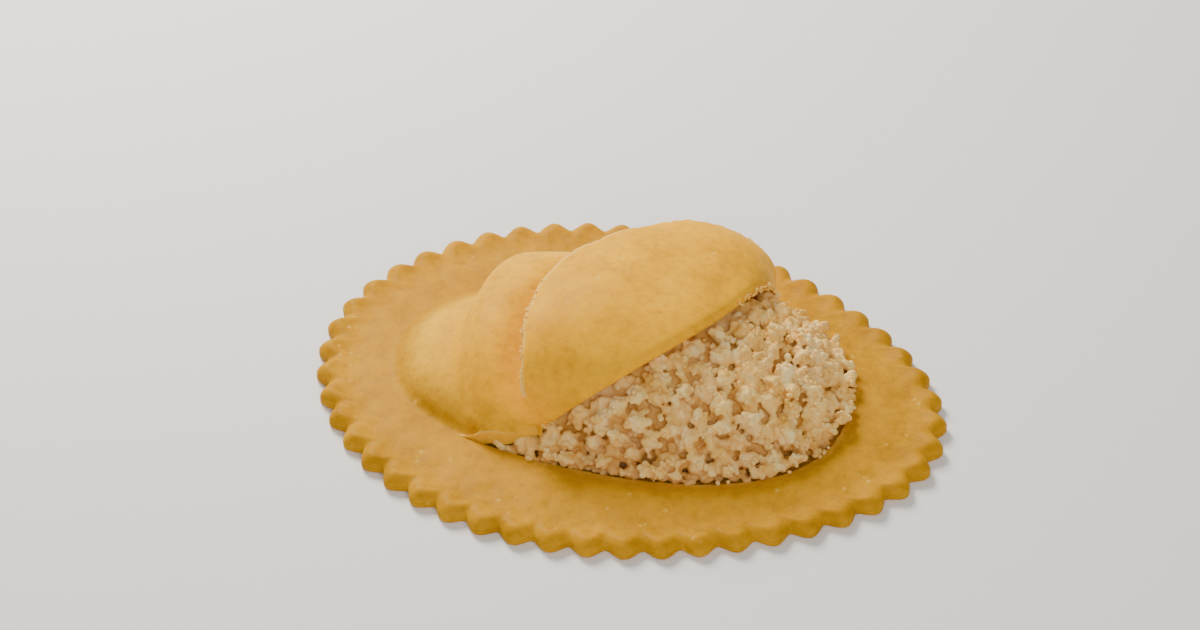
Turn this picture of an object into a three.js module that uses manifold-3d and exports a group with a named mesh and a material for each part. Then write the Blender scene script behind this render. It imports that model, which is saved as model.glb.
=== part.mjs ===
// A stuffed oval pasta pocket with a fluted flange, cut round the foot of its
// dome and opened, so that the crumbly filling shows.
// X runs along the oval, Y across it and Z up. The underside lies on Z = 0.

import * as THREE from 'three';
import Module from 'manifold-3d';
import { mergeVertices } from 'three/addons/utils/BufferGeometryUtils.js';

const wasm = await Module();
wasm.setup();

// ---------- driving dimensions, in millimetres ----------

// Flange: a slightly egg-shaped oval through the tips of the teeth.
const FLANGE_HALF_LENGTH = 37.6;
const FLANGE_HALF_WIDTH = 28.95;
const EGG_THREE_LOBE = 0.025;
const EGG_FOUR_LOBE = 0.0125;
const TOOTH_COUNT = 48;
const TOOTH_DEPTH = 1.4;
const TOOTH_ROUNDNESS = 0.9;
const TOOTH_PHASE = -0.04;
const POINTS_PER_TOOTH = 6;
const FLANGE_CENTRE_X = -0.93;

// Two sheets of dough, pressed together along the flange.
const BOTTOM_SHEET = 0.8;
const TOP_SHEET = 0.9;
const FLANGE_TOP = BOTTOM_SHEET + TOP_SHEET;
const EDGE_ROUNDING = 0.35;

// Mound: foot oval on the flange and height above the flange.
const MOUND_CENTRE_X = -1.8;
const MOUND_CENTRE_Y = 1.2;
const MOUND_HALF_LENGTH = 28.0;
const MOUND_HALF_WIDTH = 17.6;
const MOUND_SQUARENESS = 2.4;
const MOUND_HEIGHT = 12.6;
const MOUND_FULLNESS = 2.2;
const MOUND_SHOULDER = 0.6;
const FOOT_SINK = 0.06;
const OPENING_SHARE = 1.008;

// Low shelf of skin at the left end of the mound, beyond the bulge.
const SHELF_CENTRE_X = -14.0;
const SHELF_CENTRE_Y = -1.0;
const SHELF_HALF_LENGTH = 16.0;
const SHELF_HALF_WIDTH = 14.5;
const SHELF_HEIGHT = 5.0;

// Bulge: the step up from the shelf, bowed in plan.
const STEP_X = -20.8;
const STEP_BOW = 0.0165;
const STEP_BOW_CENTRE_Y = 4.0;
const STEP_HALF_WIDTH = 2.2;
const BULGE_SHARE = 0.82;
const BULGE_FADE_START = -12.0;
const BULGE_FADE_END = 4.0;
const SHELF_BLEND = 4;

// Valley between the bulge and the flap's left edge, bowed in plan like it.
const VALLEY_X = -10.5;
const VALLEY_BOW = 0.0235;
const VALLEY_BOW_CENTRE_Y = -4.0;
const VALLEY_HALF_WIDTH = 3.5;
const VALLEY_SHARE = 0.2;

// Fold of the peeled skin: an arc in plan from the front foot to the back foot.
const FOLD_START = new THREE.Vector2(-6.5, -15.6);
const FOLD_END = new THREE.Vector2(14.0, 16.4);
const FOLD_BOW = 6.8;
const FOLD_LIFT = 0.5;
const FOLD_NOSE = 1.0;
const FOLD_ROOT = 1.2;
const FOLD_ROOT_DEPTH = 0.8;
const FOLD_ROOT_COVER = 0.1;

// Free edge of the peeled skin, measured from the line between the fold's ends.
const FLAP_REACH = 13.8;
const FLAP_START_SQUARENESS = 1.75;
const FLAP_END_SQUARENESS = 2.3;
const FLAP_EDGE_LOW = 4.15;
const FLAP_EDGE_RISE = 11.0;
const FLAP_EDGE_TILT = 3.45;
const FLAP_EDGE_TILT_START = 0.3;
const FLAP_START_EDGE_SHAPE = 0.31;
const FLAP_END_EDGE_SHAPE = 0.22;
const FLAP_ARCH = 2.15;
const FLAP_START_ARCH_SHAPE = 0.6;
const FLAP_END_ARCH_SHAPE = 0.34;
const FLAP_END_GAP = 0.02;

// Lifted lip of skin at the front, between the cut's start and the fold.
const LIP_START = new THREE.Vector2(-16.5, -14.7);
const LIP_LIFT = 2.3;
const LIP_THINNEST = 0.05;
const LIP_GROOVE = 0.12;
const LIP_OVERRUN = 0.05;
const LIP_INNER_SHARE = 0.85;
const LIP_OUTER_SHARE = 1.02;

// Filling: a core with lumps fused into it.
const CLEARANCE = 0.3;
const CORE_DROP_UNDER_SKIN = TOP_SHEET + CLEARANCE;
const CORE_DROP_OPEN = 1.9;
const CORE_DROP_FOOT = 0.3;
const CORE_FOOT_START = 0.85;
const FOOT_MARGIN = 0.012;
const LUMP_SIZES = [
  { radius: 2.7, spread: 0.5, spacing: 4.6, tries: 500, detail: 1, most: 12 },
  { radius: 1.9, spread: 0.35, spacing: 3.1, tries: 1500, detail: 0, most: 36 },
  { radius: 1.35, spread: 0.25, spacing: 2.4, tries: 3000, detail: 0, most: 26 },
];
const LUMP_ROUGHNESS = 0.22;
const LUMP_SINK = 0.6;
const LUMP_FOOT_MARGIN = 0.006;
const LUMP_FOLD_MARGIN = 0.7;
const LUMP_SEED = 4127;

// Mesh steps.
const MOUND_RINGS = 10;
const MOUND_SPOKES = 54;
const FOLD_STEPS = 32;
const FLAP_STEPS = 8;
const NOSE_STEPS = 4;
const LIP_STEPS = 8;
const OVAL_SAMPLES_PER_POINT = 8;
const SLOPE_STEP = 0.05;
const WALL_SEARCH_STEP = 0.002;
const OPENED_SPACE_TOP = 30;
const MESH_TOLERANCE = 0.03;

// ---------- solids ----------

function solidFrom(geometry) {
  geometry.deleteAttribute('normal');
  geometry.deleteAttribute('uv');
  const merged = mergeVertices(geometry, 1e-5);
  return new wasm.Manifold(new wasm.Mesh({
    numProp: 3,
    vertProperties: merged.attributes.position.array,
    triVerts: new Uint32Array(merged.index.array),
  }));
}

function meshFrom(solid, name, material) {
  const mesh = solid.getMesh();
  const geometry = new THREE.BufferGeometry();
  geometry.setAttribute('position', new THREE.BufferAttribute(mesh.vertProperties, 3));
  geometry.setIndex(new THREE.BufferAttribute(mesh.triVerts, 1));
  geometry.computeVertexNormals();
  const result = new THREE.Mesh(geometry, material);
  result.name = name;
  return result;
}

// Slivers left over by a cut are dropped.
function largestBody(solid) {
  const bodies = solid.decompose();
  bodies.sort((a, b) => b.volume() - a.volume());
  return bodies[0];
}

// A closed body between two flat ends, through rings that all have as many points.
function stackedRings(rings) {
  const count = rings[0].length;
  const points = rings.flat();
  const faces = [];
  for (let level = 0; level + 1 < rings.length; level += 1) {
    for (let i = 0; i < count; i += 1) {
      const next = (i + 1) % count;
      const a = level * count + i;
      const b = level * count + next;
      faces.push(a, b, b + count, a, b + count, a + count);
    }
  }
  return { points, faces };
}

function geometryFrom(points, faces) {
  const geometry = new THREE.BufferGeometry();
  geometry.setFromPoints(points);
  geometry.setIndex(faces);
  return geometry;
}

function prism(rings) {
  const { points, faces } = stackedRings(rings);
  const count = rings[0].length;
  const top = (rings.length - 1) * count;
  const flatRing = (ring) => ring.map((p) => new THREE.Vector2(p.x, p.y));
  for (const [a, b, c] of THREE.ShapeUtils.triangulateShape(flatRing(rings[0]), [])) {
    faces.push(a, c, b);
  }
  for (const [a, b, c] of THREE.ShapeUtils.triangulateShape(flatRing(rings.at(-1)), [])) {
    faces.push(top + a, top + b, top + c);
  }
  return solidFrom(geometryFrom(points, faces));
}

function ringAt(outline, z) {
  return outline.map((p) => new THREE.Vector3(p.x, p.y, z));
}

function smoothStep(low, high, value) {
  return THREE.MathUtils.smoothstep(value, low, high);
}

// ---------- flange outline ----------

function flangeOval(angle) {
  const radius = 1 + EGG_THREE_LOBE * Math.cos(3 * angle) + EGG_FOUR_LOBE * Math.cos(4 * angle);
  return new THREE.Vector2(
    FLANGE_CENTRE_X + FLANGE_HALF_LENGTH * radius * Math.cos(angle),
    FLANGE_HALF_WIDTH * radius * Math.sin(angle),
  );
}

function evenOval(count) {
  const fine = count * OVAL_SAMPLES_PER_POINT;
  const samples = [];
  for (let i = 0; i <= fine; i += 1) {
    samples.push(flangeOval((2 * Math.PI * i) / fine));
  }
  const along = [0];
  for (let i = 1; i <= fine; i += 1) {
    along.push(along[i - 1] + samples[i].distanceTo(samples[i - 1]));
  }
  const result = [];
  let k = 0;
  for (let i = 0; i < count; i += 1) {
    const wanted = (along[fine] * i) / count;
    while (along[k + 1] < wanted) {
      k += 1;
    }
    const share = (wanted - along[k]) / (along[k + 1] - along[k]);
    result.push(samples[k].clone().lerp(samples[k + 1], share));
  }
  return result;
}

// Rounded teeth with sharp valleys, evenly spaced along the oval.
function flutedOutline(inset) {
  const count = TOOTH_COUNT * POINTS_PER_TOOTH;
  const oval = evenOval(count);
  return oval.map((point, i) => {
    const before = oval[(i + count - 1) % count];
    const after = oval[(i + 1) % count];
    const along = after.clone().sub(before).normalize();
    const outward = new THREE.Vector2(along.y, -along.x);
    const phase = i / POINTS_PER_TOOTH - TOOTH_PHASE;
    const tooth = Math.abs(Math.cos(Math.PI * phase)) ** TOOTH_ROUNDNESS;
    return point.clone().addScaledVector(outward, -inset - TOOTH_DEPTH * (1 - tooth));
  });
}

// ---------- mound ----------

function moundShare(x, y) {
  const along = Math.abs((x - MOUND_CENTRE_X) / MOUND_HALF_LENGTH) ** MOUND_SQUARENESS;
  const across = Math.abs((y - MOUND_CENTRE_Y) / MOUND_HALF_WIDTH) ** MOUND_SQUARENESS;
  return Math.min(1, (along + across) ** (1 / MOUND_SQUARENESS));
}

function footPoint(angle, share) {
  const c = Math.cos(angle);
  const s = Math.sin(angle);
  const reach = (Math.abs(c) ** MOUND_SQUARENESS + Math.abs(s) ** MOUND_SQUARENESS)
    ** (-1 / MOUND_SQUARENESS);
  return new THREE.Vector2(
    MOUND_CENTRE_X + MOUND_HALF_LENGTH * reach * share * c,
    MOUND_CENTRE_Y + MOUND_HALF_WIDTH * reach * share * s,
  );
}

// Share of the mound's full height: nothing on the shelf, most of it on the
// bulge, a little less again in the valley.
function bulgeShare(x, y) {
  const stepX = STEP_X + STEP_BOW * (y - STEP_BOW_CENTRE_Y) ** 2;
  const step = smoothStep(stepX - STEP_HALF_WIDTH, stepX + STEP_HALF_WIDTH, x);
  const fade = smoothStep(BULGE_FADE_START, BULGE_FADE_END, x);
  const valleyX = VALLEY_X + VALLEY_BOW * (y - VALLEY_BOW_CENTRE_Y) ** 2;
  const valley = VALLEY_SHARE * Math.exp(-(((x - valleyX) / VALLEY_HALF_WIDTH) ** 2));
  return step * (BULGE_SHARE + (1 - BULGE_SHARE) * fade) * (1 - valley);
}

function shelfHeight(x, y) {
  const along = (x - SHELF_CENTRE_X) / SHELF_HALF_LENGTH;
  const across = (y - SHELF_CENTRE_Y) / SHELF_HALF_WIDTH;
  return SHELF_HEIGHT * Math.max(0, 1 - along ** 2 - across ** 2);
}

// Height of the skin's outer face above the flange.
function skinHeight(x, y) {
  const dome = MOUND_HEIGHT * (1 - moundShare(x, y) ** MOUND_FULLNESS) ** MOUND_SHOULDER;
  const bulge = dome * bulgeShare(x, y);
  const shelf = shelfHeight(x, y);
  return (bulge ** SHELF_BLEND + shelf ** SHELF_BLEND) ** (1 / SHELF_BLEND);
}

// Direction straight out of the skin's outer face.
function skinNormal(x, y) {
  const slopeX = (skinHeight(x + SLOPE_STEP, y) - skinHeight(x - SLOPE_STEP, y)) / (2 * SLOPE_STEP);
  const slopeY = (skinHeight(x, y + SLOPE_STEP) - skinHeight(x, y - SLOPE_STEP)) / (2 * SLOPE_STEP);
  return new THREE.Vector3(-slopeX, -slopeY, 1).normalize();
}

// Widest share of the foot oval at which the skin stands clear of the flange.
function wallShare(angle) {
  let share = 1;
  let point = footPoint(angle, share);
  while (share > WALL_SEARCH_STEP && skinHeight(point.x, point.y) < TOP_SHEET) {
    share -= WALL_SEARCH_STEP;
    point = footPoint(angle, share);
  }
  return share;
}

// The body under the skin's outer face, standing on a flat base. Each point of
// its upper face is drawn inwards from the skin by drop(x, y).
function moundSolid({ base, lowestTop, sink, drop, footMargin, widest }) {
  const rings = [];
  for (let ring = MOUND_RINGS; ring >= 1; ring -= 1) {
    const ringShare = Math.sin((Math.PI / 2) * (ring / MOUND_RINGS));
    const points = [];
    for (let spoke = 0; spoke < MOUND_SPOKES; spoke += 1) {
      const angle = (2 * Math.PI * spoke) / MOUND_SPOKES;
      const flat = footPoint(angle, (widest(angle) - footMargin) * ringShare);
      const point = new THREE.Vector3(flat.x, flat.y, FLANGE_TOP + skinHeight(flat.x, flat.y));
      point.addScaledVector(skinNormal(flat.x, flat.y), -drop(flat.x, flat.y));
      point.z = Math.max(point.z - sink, lowestTop);
      points.push(point);
    }
    rings.push(points);
  }
  return prism([ringAt(rings[0], base), ...rings]);
}

// ---------- fold and flap ----------

const foldChord = FOLD_END.clone().sub(FOLD_START);
const foldLength = foldChord.length();
const foldAlong = foldChord.clone().normalize();
const foldAcross = new THREE.Vector2(-foldAlong.y, foldAlong.x);

function fromFoldFrame(along, across) {
  return FOLD_START.clone()
    .addScaledVector(foldAlong, along)
    .addScaledVector(foldAcross, across);
}

function foldPoint(share) {
  const radius = ((foldLength / 2) ** 2 + FOLD_BOW ** 2) / (2 * FOLD_BOW);
  const halfAngle = Math.asin(foldLength / 2 / radius);
  const angle = (2 * share - 1) * halfAngle;
  const along = foldLength / 2 + radius * Math.sin(angle);
  return fromFoldFrame(along, radius - FOLD_BOW - radius * Math.cos(angle));
}

function flapEdgePoint(share) {
  const angle = Math.PI * (1 - share);
  const c = Math.cos(angle);
  const s = Math.sin(angle);
  const squareness = c < 0 ? FLAP_START_SQUARENESS : FLAP_END_SQUARENESS;
  const reach = (Math.abs(c) ** squareness + Math.abs(s) ** squareness) ** (-1 / squareness);
  return fromFoldFrame((foldLength / 2) * (1 + reach * c), FLAP_REACH * reach * s);
}

// Grows from nothing at either end of the fold to one half way along it.
function growth(share, startShape, endShape) {
  return Math.sin(Math.PI * share) ** (share < 0.5 ? startShape : endShape);
}

function flapEdgeHeight(share) {
  const tilt = FLAP_EDGE_TILT * (share - FLAP_EDGE_TILT_START);
  const grown = growth(share, FLAP_START_EDGE_SHAPE, FLAP_END_EDGE_SHAPE);
  return FLAP_EDGE_LOW + (FLAP_EDGE_RISE - tilt) * grown;
}

// Which side of the fold a point is on: positive where the skin is peeled off.
function beyondFold(x, y) {
  let nearest = Infinity;
  let side = 0;
  for (let step = 0; step < FOLD_STEPS; step += 1) {
    const from = foldPoint(step / FOLD_STEPS);
    const to = foldPoint((step + 1) / FOLD_STEPS);
    const middle = from.clone().add(to).multiplyScalar(0.5);
    const away = Math.hypot(x - middle.x, y - middle.y);
    if (away < nearest) {
      nearest = away;
      const along = to.sub(from).normalize();
      side = along.y * (x - middle.x) - along.x * (y - middle.y);
    }
  }
  return side;
}

// Points of one section across the flap, each a distance in from the fold and a
// height: along the upper face from the free edge, round the nose of the fold,
// down into the closed skin and back along the lower face.
function flapProfile(share, fold, direction, width, grow) {
  const half = TOP_SHEET / 2 + grow;
  const radius = FOLD_NOSE + grow;
  const skinZ = (distance) => {
    const flat = fold.clone().addScaledVector(direction, distance);
    return FLANGE_TOP + skinHeight(flat.x, flat.y);
  };
  const foldZ = skinZ(0) + FOLD_LIFT;
  const edgeZ = flapEdgeHeight(share);
  const arch = FLAP_ARCH * growth(share, FLAP_START_ARCH_SHAPE, FLAP_END_ARCH_SHAPE);
  const middleZ = (t) => foldZ + (edgeZ - foldZ) * t + arch * 4 * t * (1 - t);
  const upper = [];
  const lower = [];
  for (let step = 0; step <= FLAP_STEPS; step += 1) {
    const t = step / FLAP_STEPS;
    const distance = t * width + (step === FLAP_STEPS ? grow : 0);
    upper.unshift(new THREE.Vector2(distance, middleZ(t) + half));
    lower.push(new THREE.Vector2(distance, middleZ(t) - half));
  }
  const nose = [];
  for (let step = 1; step <= NOSE_STEPS; step += 1) {
    const angle = (Math.PI * step) / NOSE_STEPS;
    const z = foldZ + half - radius + radius * Math.cos(angle);
    nose.push(new THREE.Vector2(-radius * Math.sin(angle), z));
  }
  const root = Math.min(FOLD_ROOT, width / 2);
  const rootZ = skinZ(root);
  const rooted = [
    new THREE.Vector2(root, rootZ - FOLD_ROOT_DEPTH - grow),
    new THREE.Vector2(root, rootZ - FOLD_ROOT_COVER),
  ];
  return [...upper, ...nose, ...rooted, ...lower];
}

function flapSolid(grow) {
  const sections = [];
  const profiles = [];
  for (let step = 0; step <= FOLD_STEPS; step += 1) {
    const share = FLAP_END_GAP + (1 - 2 * FLAP_END_GAP) * (step / FOLD_STEPS);
    const fold = foldPoint(share);
    const edge = flapEdgePoint(share);
    const width = fold.distanceTo(edge);
    const direction = edge.clone().sub(fold).divideScalar(width);
    const profile = flapProfile(share, fold, direction, width, grow);
    profiles.push(profile);
    sections.push(profile.map((p) => {
      const flat = fold.clone().addScaledVector(direction, p.x);
      return new THREE.Vector3(flat.x, flat.y, p.y);
    }));
  }
  const { points, faces } = stackedRings(sections);
  const last = FOLD_STEPS * profiles[0].length;
  for (const [a, b, c] of THREE.ShapeUtils.triangulateShape(profiles[0], [])) {
    faces.push(a, c, b);
  }
  for (const [a, b, c] of THREE.ShapeUtils.triangulateShape(profiles.at(-1), [])) {
    faces.push(last + a, last + b, last + c);
  }
  return solidFrom(geometryFrom(points, faces));
}

// ---------- cuts ----------

function footAngle(point) {
  const x = (point.x - MOUND_CENTRE_X) / MOUND_HALF_LENGTH;
  const y = (point.y - MOUND_CENTRE_Y) / MOUND_HALF_WIDTH;
  return Math.atan2(y, x);
}

// Everything over the opened part of the foot oval, from the fold outwards.
function openedSpace(base, foldMargin, footShare) {
  const outline = [];
  for (let step = 0; step <= FOLD_STEPS; step += 1) {
    const share = step / FOLD_STEPS;
    const shifted = foldPoint(share).addScaledVector(foldAcross, -foldMargin);
    outline.push(shifted);
  }
  const start = footAngle(FOLD_END);
  const end = footAngle(FOLD_START);
  for (let step = 0; step <= MOUND_SPOKES; step += 1) {
    const angle = start + (end - start) * (step / MOUND_SPOKES);
    outline.push(footPoint(angle, footShare));
  }
  outline.reverse();
  return prism([ringAt(outline, base), ringAt(outline, OPENED_SPACE_TOP)]);
}

// The wedge of air under the lifted lip, growing towards the fold.
function lipWedge() {
  const start = footAngle(LIP_START);
  const end = footAngle(FOLD_START) + LIP_OVERRUN;
  const sections = [];
  for (let step = 0; step <= LIP_STEPS; step += 1) {
    const share = step / LIP_STEPS;
    const angle = start + (end - start) * share;
    const inner = footPoint(angle, LIP_INNER_SHARE);
    const outer = footPoint(angle, LIP_OUTER_SHARE);
    const top = FLANGE_TOP + LIP_THINNEST + LIP_LIFT * share;
    sections.push([
      new THREE.Vector3(inner.x, inner.y, top),
      new THREE.Vector3(outer.x, outer.y, top),
      new THREE.Vector3(outer.x, outer.y, FLANGE_TOP - LIP_GROOVE),
      new THREE.Vector3(inner.x, inner.y, FLANGE_TOP - LIP_GROOVE),
    ]);
  }
  const { points, faces } = stackedRings(sections);
  const last = LIP_STEPS * 4;
  faces.push(0, 2, 1, 0, 3, 2);
  faces.push(last, last + 1, last + 2, last, last + 2, last + 3);
  return solidFrom(geometryFrom(points, faces));
}

// ---------- filling ----------

function seededRandom(seed) {
  let state = seed;
  return () => {
    state = (state * 1664525 + 1013904223) % 4294967296;
    return state / 4294967296;
  };
}

function lumpSolid(centre, radius, detail, random) {
  const geometry = mergeVertices(bareSphere(radius, detail), 1e-4);
  const position = geometry.attributes.position;
  for (let i = 0; i < position.count; i += 1) {
    const point = new THREE.Vector3().fromBufferAttribute(position, i);
    point.multiplyScalar(1 + LUMP_ROUGHNESS * (2 * random() - 1));
    position.setXYZ(i, point.x, point.y, point.z);
  }
  geometry.rotateX(random() * Math.PI);
  geometry.rotateZ(random() * Math.PI);
  geometry.translate(centre.x, centre.y, centre.z);
  return solidFrom(geometry);
}

function bareSphere(radius, detail) {
  const geometry = new THREE.IcosahedronGeometry(radius, detail);
  geometry.deleteAttribute('normal');
  geometry.deleteAttribute('uv');
  return geometry;
}

// Lumps sit half sunk in the opened face, the largest first, spread by spacing.
function lumpSolids() {
  const random = seededRandom(LUMP_SEED);
  const placed = [];
  const lumps = [];
  for (const size of LUMP_SIZES) {
    let made = 0;
    for (let attempt = 0; attempt < size.tries && made < size.most; attempt += 1) {
      const flat = footPoint(2 * Math.PI * random(), Math.sqrt(random()));
      const radius = size.radius + size.spread * (random() - 0.5);
      const inside = moundShare(flat.x, flat.y) < 1 - radius * LUMP_FOOT_MARGIN;
      const opened = beyondFold(flat.x, flat.y) > radius * LUMP_FOLD_MARGIN;
      const centre = new THREE.Vector3(flat.x, flat.y, FLANGE_TOP + skinHeight(flat.x, flat.y));
      centre.addScaledVector(skinNormal(flat.x, flat.y), -radius - LUMP_SINK * random());
      const free = placed.every((p) => p.distanceTo(centre) > size.spacing);
      if (inside && opened && free) {
        placed.push(centre);
        lumps.push(lumpSolid(centre, radius, size.detail, random));
        made += 1;
      }
    }
  }
  return lumps;
}

// ---------- the three bodies ----------

function bottomSheetSolid() {
  return prism([
    ringAt(flutedOutline(EDGE_ROUNDING), 0),
    ringAt(flutedOutline(0), EDGE_ROUNDING),
    ringAt(flutedOutline(0), BOTTOM_SHEET),
  ]);
}

function topSheetSolid() {
  const flange = prism([
    ringAt(flutedOutline(0), BOTTOM_SHEET),
    ringAt(flutedOutline(0), FLANGE_TOP - EDGE_ROUNDING),
    ringAt(flutedOutline(EDGE_ROUNDING), FLANGE_TOP),
  ]);
  const dome = moundSolid({
    base: BOTTOM_SHEET + CLEARANCE,
    lowestTop: BOTTOM_SHEET + 2 * CLEARANCE,
    sink: FOOT_SINK,
    drop: () => 0,
    footMargin: 0,
    widest: () => 1,
  });
  const hollow = moundSolid({
    base: BOTTOM_SHEET - CLEARANCE,
    lowestTop: BOTTOM_SHEET + CLEARANCE,
    sink: 0,
    drop: () => TOP_SHEET,
    footMargin: 0,
    widest: wallShare,
  });
  return flange
    .add(dome)
    .subtract(hollow)
    .subtract(openedSpace(BOTTOM_SHEET - CLEARANCE, 0, OPENING_SHARE))
    .subtract(lipWedge())
    .add(flapSolid(0))
    .simplify(MESH_TOLERANCE);
}

// The filling is cut back from the top sheet moved a little each way.
function clearOf(solid, neighbour) {
  const moves = [
    [0, 0, -CLEARANCE],
    [CLEARANCE, 0, 0],
    [-CLEARANCE, 0, 0],
    [0, CLEARANCE, 0],
    [0, -CLEARANCE, 0],
  ];
  return moves.reduce((left, move) => left.subtract(neighbour.translate(move)), solid);
}

// How far the core lies inside the skin's outer face: deeper where it is bare,
// so that the lumps stand out of it, and less so at the foot of the bare part.
function coreDrop(x, y) {
  if (beyondFold(x, y) <= 0) {
    return CORE_DROP_UNDER_SKIN;
  }
  const foot = smoothStep(CORE_FOOT_START, 1, moundShare(x, y));
  return CORE_DROP_OPEN + (CORE_DROP_FOOT - CORE_DROP_OPEN) * foot;
}

function fillingSolid(topSheet) {
  const core = moundSolid({
    base: BOTTOM_SHEET,
    lowestTop: BOTTOM_SHEET + CLEARANCE / 2,
    sink: 0,
    drop: coreDrop,
    footMargin: FOOT_MARGIN,
    widest: wallShare,
  });
  const space = openedSpace(BOTTOM_SHEET, CLEARANCE, 1 - FOOT_MARGIN);
  const lumps = wasm.Manifold.union(lumpSolids()).intersect(space);
  const whole = core.add(lumps).subtract(flapSolid(CLEARANCE));
  return largestBody(clearOf(whole, topSheet)).simplify(MESH_TOLERANCE);
}

// ---------- materials and assembly ----------

function doughMaterial(colour) {
  return new THREE.MeshStandardMaterial({ color: colour, roughness: 0.55, metalness: 0 });
}

function fillingMaterial() {
  return new THREE.MeshStandardMaterial({ color: 0xdcb887, roughness: 0.85, metalness: 0 });
}

const group = new THREE.Group();
group.add(meshFrom(bottomSheetSolid(), 'bottom_sheet', doughMaterial(0xc6983f)));
const topSheet = topSheetSolid();
group.add(meshFrom(topSheet, 'top_sheet', doughMaterial(0xe0ac48)));
group.add(meshFrom(fillingSolid(topSheet), 'filling', fillingMaterial()));

export default group;
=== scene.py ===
import math
import random

import bpy
import numpy as np
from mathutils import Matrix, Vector, noise


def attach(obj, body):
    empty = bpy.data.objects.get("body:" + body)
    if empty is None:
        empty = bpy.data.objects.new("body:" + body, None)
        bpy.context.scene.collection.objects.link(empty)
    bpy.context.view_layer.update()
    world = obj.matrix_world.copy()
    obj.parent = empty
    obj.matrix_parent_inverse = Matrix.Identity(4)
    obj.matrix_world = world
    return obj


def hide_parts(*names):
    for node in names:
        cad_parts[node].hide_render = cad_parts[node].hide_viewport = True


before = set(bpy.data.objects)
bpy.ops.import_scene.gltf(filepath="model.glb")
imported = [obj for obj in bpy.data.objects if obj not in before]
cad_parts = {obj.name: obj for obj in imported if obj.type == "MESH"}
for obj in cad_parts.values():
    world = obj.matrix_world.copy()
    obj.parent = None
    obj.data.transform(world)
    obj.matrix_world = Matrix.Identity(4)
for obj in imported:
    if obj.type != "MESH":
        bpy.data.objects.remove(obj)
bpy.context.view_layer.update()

# --- Camera -------------------------------------------------------------------
# A long lens looking down on the front of the pasta, a little from its right.
MM = 0.001
CAMERA_TARGET = Vector((-7.58, 12.75, 0.0)) * MM
CAMERA_ELEVATION = math.radians(40.0)
CAMERA_AZIMUTH = math.radians(16.82)
CAMERA_DISTANCE = 478.8 * MM
CAMERA_LENS = 118.125
CAMERA_SENSOR = 36.0
NEAREST_SEEN = 0.01
FARTHEST_SEEN = 10.0

bpy.ops.object.select_all(action="DESELECT")
camera_forward = Vector((
    -math.sin(CAMERA_AZIMUTH) * math.cos(CAMERA_ELEVATION),
    math.cos(CAMERA_AZIMUTH) * math.cos(CAMERA_ELEVATION),
    -math.sin(CAMERA_ELEVATION),
))
bpy.ops.object.camera_add(
    location=CAMERA_TARGET - camera_forward * CAMERA_DISTANCE,
    rotation=(math.pi / 2 - CAMERA_ELEVATION, 0.0, CAMERA_AZIMUTH),
)
camera = bpy.context.object
camera.name = "camera"
camera.data.lens = CAMERA_LENS
camera.data.sensor_width = CAMERA_SENSOR
camera.data.clip_start = NEAREST_SEEN
camera.data.clip_end = FARTHEST_SEEN
bpy.context.scene.camera = camera

# --- Light --------------------------------------------------------------------
# A near softbox behind and to the left, a weak one in front and a pale room.
LIGHTS_AIM_AT = Vector((0.0, 0.0, 5.0)) * MM
ROOM_STRENGTH = 0.32


def softbox(name, place, size, watts, colour):
    bpy.ops.object.light_add(type="AREA", location=Vector(place) * MM)
    light = bpy.context.object
    light.name = name
    light.data.shape = "SQUARE"
    light.data.size = size * MM
    light.data.energy = watts
    light.data.color = colour
    toward = LIGHTS_AIM_AT - light.location
    light.rotation_euler = toward.to_track_quat("-Z", "Y").to_euler()


softbox("key_light", place=(-170, 170, 210), size=120, watts=1.6, colour=(1.0, 0.95, 0.87))
softbox("front_light", place=(150, -280, 260), size=260, watts=0.75, colour=(1.0, 0.97, 0.92))
world = bpy.data.worlds.new("pale_room")
world.use_nodes = True
background = world.node_tree.nodes["Background"]
background.inputs["Color"].default_value = (1.0, 1.0, 1.0, 1.0)
background.inputs["Strength"].default_value = ROOM_STRENGTH
bpy.context.scene.world = world

# --- Floor --------------------------------------------------------------------
# A plain matt white board that runs past the view on every side.
FLOOR_WIDTH = 6.0


def linear(code):
    # An sRGB hex colour as the linear colour that the shader takes.
    channels = [int(code[i:i + 2], 16) / 255.0 for i in (1, 3, 5)]
    curve = [c / 12.92 if c <= 0.04045 else ((c + 0.055) / 1.055) ** 2.4 for c in channels]
    return (*curve, 1.0)


def new_material(name):
    material = bpy.data.materials.new(name)
    material.use_nodes = True
    return material, material.node_tree, material.node_tree.nodes["Principled BSDF"]


bpy.ops.mesh.primitive_plane_add(size=FLOOR_WIDTH, location=(0.0, 0.0, 0.0))
floor = bpy.context.object
floor.name = "floor"
floor_paint, floor_tree, floor_shader = new_material("matt_white_board")
floor_shader.inputs["Base Color"].default_value = linear("#fbfaf8")
floor_shader.inputs["Roughness"].default_value = 0.8
floor.data.materials.append(floor_paint)

# --- Bottom sheet of dough ----------------------------------------------------
# Rolled egg dough 0.8 mm thick, cut with a fluted wheel. It lies flat on the
# floor and is pressed to the top sheet all round.
FLANGE_HALF_LENGTH = 37.6
FLANGE_HALF_WIDTH = 28.95
FLANGE_CENTRE_X = -0.93
WIDEST = 29.3
EGG_THREE_LOBE = 0.025
EGG_FOUR_LOBE = 0.0125
TOOTH_COUNT = 48
TOOTH_DEPTH = 1.4
TOOTH_ROUNDNESS = 0.7
TOOTH_PHASE = -0.04
POINTS_PER_TOOTH = 12
SPOKES = TOOTH_COUNT * POINTS_PER_TOOTH
BOTTOM_SHEET = 0.8
TOP_SHEET = 0.9
FLANGE_TOP = BOTTOM_SHEET + TOP_SHEET
# How far in and how high the rows of points round the lower edge lie.
LOWER_EDGE = ((0.5, 0.0), (0.16, 0.06), (0.02, 0.22), (0.0, 0.5), (0.0, BOTTOM_SHEET))
PLATE_RINGS = (0.9, 0.6, 0.3, 0.0)


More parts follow.
